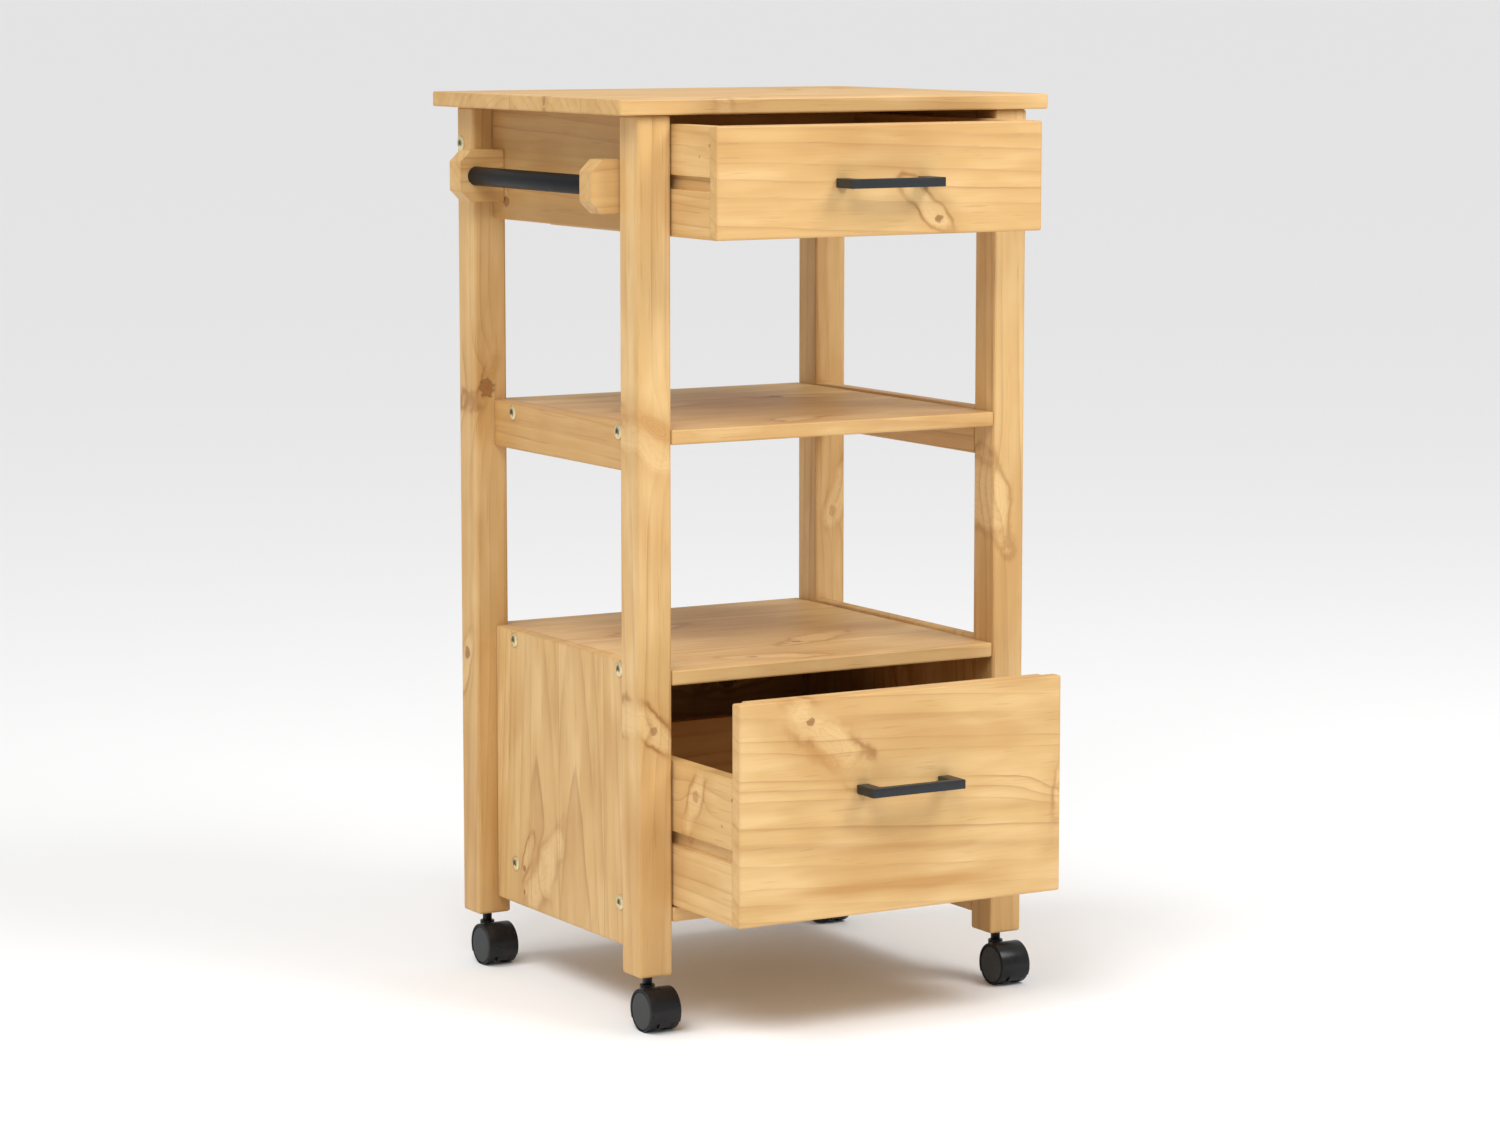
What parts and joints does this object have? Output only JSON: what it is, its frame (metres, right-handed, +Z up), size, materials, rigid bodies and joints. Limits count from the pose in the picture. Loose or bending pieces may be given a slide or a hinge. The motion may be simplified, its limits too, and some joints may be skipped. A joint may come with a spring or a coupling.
{
  "type": "rolling pantry cart",
  "caption": "Pine kitchen cart on swivel casters, with a worktop, an open shelf, a closed cabinet, sliding drawers with black pulls and a towel rail.",
  "frame": {"origin": "on the floor, under the middle of the whole model at rest, open drawers and towel rail included", "axes": "+Z up, the drawers pull out towards -Y, the towel rail is on the -X side"},
  "size_m": [0.4926, 0.5498, 0.9],
  "materials": {
    "pine": "clear satin lacquer",
    "plywood": "plain",
    "black_metal": "satin black",
    "black_plastic": "fine matte",
    "steel": "bright zinc",
    "brass_plated": "dull brass plate"
  },
  "bodies": {
    "frame": {"top_board": "pine", "leg_front_left": "pine", "leg_front_right": "pine", "leg_back_left": "pine", "leg_back_right": "pine", "apron_left": "pine", "apron_right": "pine", "upper_back_rail": "pine", "middle_shelf": "pine", "shelf_rail_left": "pine", "shelf_rail_right": "pine", "lower_shelf": "pine", "cabinet_side_left": "pine", "cabinet_side_right": "pine", "cabinet_back": "pine", "cabinet_floor": "pine", "upper_runner_left": "pine", "upper_runner_right": "pine", "lower_runner_left": "pine", "lower_runner_right": "pine", "towel_block_front": "pine", "towel_block_back": "pine", "towel_rod": "black_metal", "shelf_bolt_front_left": "brass_plated", "shelf_bolt_front_right": "brass_plated", "shelf_bolt_back_left": "brass_plated", "shelf_bolt_back_right": "brass_plated", "caster_front_left_stem": "black_metal", "caster_front_right_stem": "black_metal", "caster_back_left_stem": "black_metal", "caster_back_right_stem": "black_metal"},
    "upper_drawer": {"upper_drawer_front": "pine", "upper_drawer_side_left": "pine", "upper_drawer_side_right": "pine", "upper_drawer_back": "pine", "upper_drawer_bottom": "plywood", "upper_drawer_pull": "black_metal"},
    "lower_drawer": {"lower_drawer_front": "pine", "lower_drawer_side_left": "pine", "lower_drawer_side_right": "pine", "lower_drawer_back": "pine", "lower_drawer_bottom": "plywood", "lower_drawer_pull": "black_metal"},
    "caster_front_left": {"caster_front_left_hood": "black_plastic", "caster_front_left_axle": "steel"},
    "caster_front_left_wheel_left": {"caster_front_left_wheel_left": "black_plastic"},
    "caster_front_left_wheel_right": {"caster_front_left_wheel_right": "black_plastic"},
    "caster_front_right": {"caster_front_right_hood": "black_plastic", "caster_front_right_axle": "steel"},
    "caster_front_right_wheel_left": {"caster_front_right_wheel_left": "black_plastic"},
    "caster_front_right_wheel_right": {"caster_front_right_wheel_right": "black_plastic"},
    "caster_back_left": {"caster_back_left_hood": "black_plastic", "caster_back_left_axle": "steel"},
    "caster_back_left_wheel_left": {"caster_back_left_wheel_left": "black_plastic"},
    "caster_back_left_wheel_right": {"caster_back_left_wheel_right": "black_plastic"},
    "caster_back_right": {"caster_back_right_hood": "black_plastic", "caster_back_right_axle": "steel"},
    "caster_back_right_wheel_left": {"caster_back_right_wheel_left": "black_plastic"},
    "caster_back_right_wheel_right": {"caster_back_right_wheel_right": "black_plastic"}
  },
  "joints": [
    {"name": "upper_drawer_slide", "type": "slide", "parent": "frame", "child": "upper_drawer", "axis": [0, -1, 0], "range_m": [-0.0843, 0.13]},
    {"name": "lower_drawer_slide", "type": "slide", "parent": "frame", "child": "lower_drawer", "axis": [0, -1, 0], "range_m": [-0.1253, 0.09]},
    {"name": "caster_front_left_swivel", "type": "hinge", "parent": "frame", "child": "caster_front_left", "pos_m": [-0.1995, -0.10135, 0.0375], "axis": [0, 0, 1], "continuous": true},
    {"name": "caster_front_left_wheel_left_spin", "type": "hinge", "parent": "caster_front_left", "child": "caster_front_left_wheel_left", "pos_m": [-0.21075, -0.11835, 0.0205], "axis": [1, 0, 0], "continuous": true},
    {"name": "caster_front_left_wheel_right_spin", "type": "hinge", "parent": "caster_front_left", "child": "caster_front_left_wheel_right", "pos_m": [-0.18825, -0.11835, 0.0205], "axis": [1, 0, 0], "continuous": true},
    {"name": "caster_front_right_swivel", "type": "hinge", "parent": "frame", "child": "caster_front_right", "pos_m": [0.206, -0.10135, 0.0375], "axis": [0, 0, 1], "continuous": true},
    {"name": "caster_front_right_wheel_left_spin", "type": "hinge", "parent": "caster_front_right", "child": "caster_front_right_wheel_left", "pos_m": [0.19475, -0.11835, 0.0205], "axis": [1, 0, 0], "continuous": true},
    {"name": "caster_front_right_wheel_right_spin", "type": "hinge", "parent": "caster_front_right", "child": "caster_front_right_wheel_right", "pos_m": [0.21725, -0.11835, 0.0205], "axis": [1, 0, 0], "continuous": true},
    {"name": "caster_back_left_swivel", "type": "hinge", "parent": "frame", "child": "caster_back_left", "pos_m": [-0.1995, 0.24315, 0.0375], "axis": [0, 0, 1], "continuous": true},
    {"name": "caster_back_left_wheel_left_spin", "type": "hinge", "parent": "caster_back_left", "child": "caster_back_left_wheel_left", "pos_m": [-0.21075, 0.22615, 0.0205], "axis": [1, 0, 0], "continuous": true},
    {"name": "caster_back_left_wheel_right_spin", "type": "hinge", "parent": "caster_back_left", "child": "caster_back_left_wheel_right", "pos_m": [-0.18825, 0.22615, 0.0205], "axis": [1, 0, 0], "continuous": true},
    {"name": "caster_back_right_swivel", "type": "hinge", "parent": "frame", "child": "caster_back_right", "pos_m": [0.206, 0.24315, 0.0375], "axis": [0, 0, 1], "continuous": true},
    {"name": "caster_back_right_wheel_left_spin", "type": "hinge", "parent": "caster_back_right", "child": "caster_back_right_wheel_left", "pos_m": [0.19475, 0.22615, 0.0205], "axis": [1, 0, 0], "continuous": true},
    {"name": "caster_back_right_wheel_right_spin", "type": "hinge", "parent": "caster_back_right", "child": "caster_back_right_wheel_right", "pos_m": [0.21725, 0.22615, 0.0205], "axis": [1, 0, 0], "continuous": true}
  ]
}
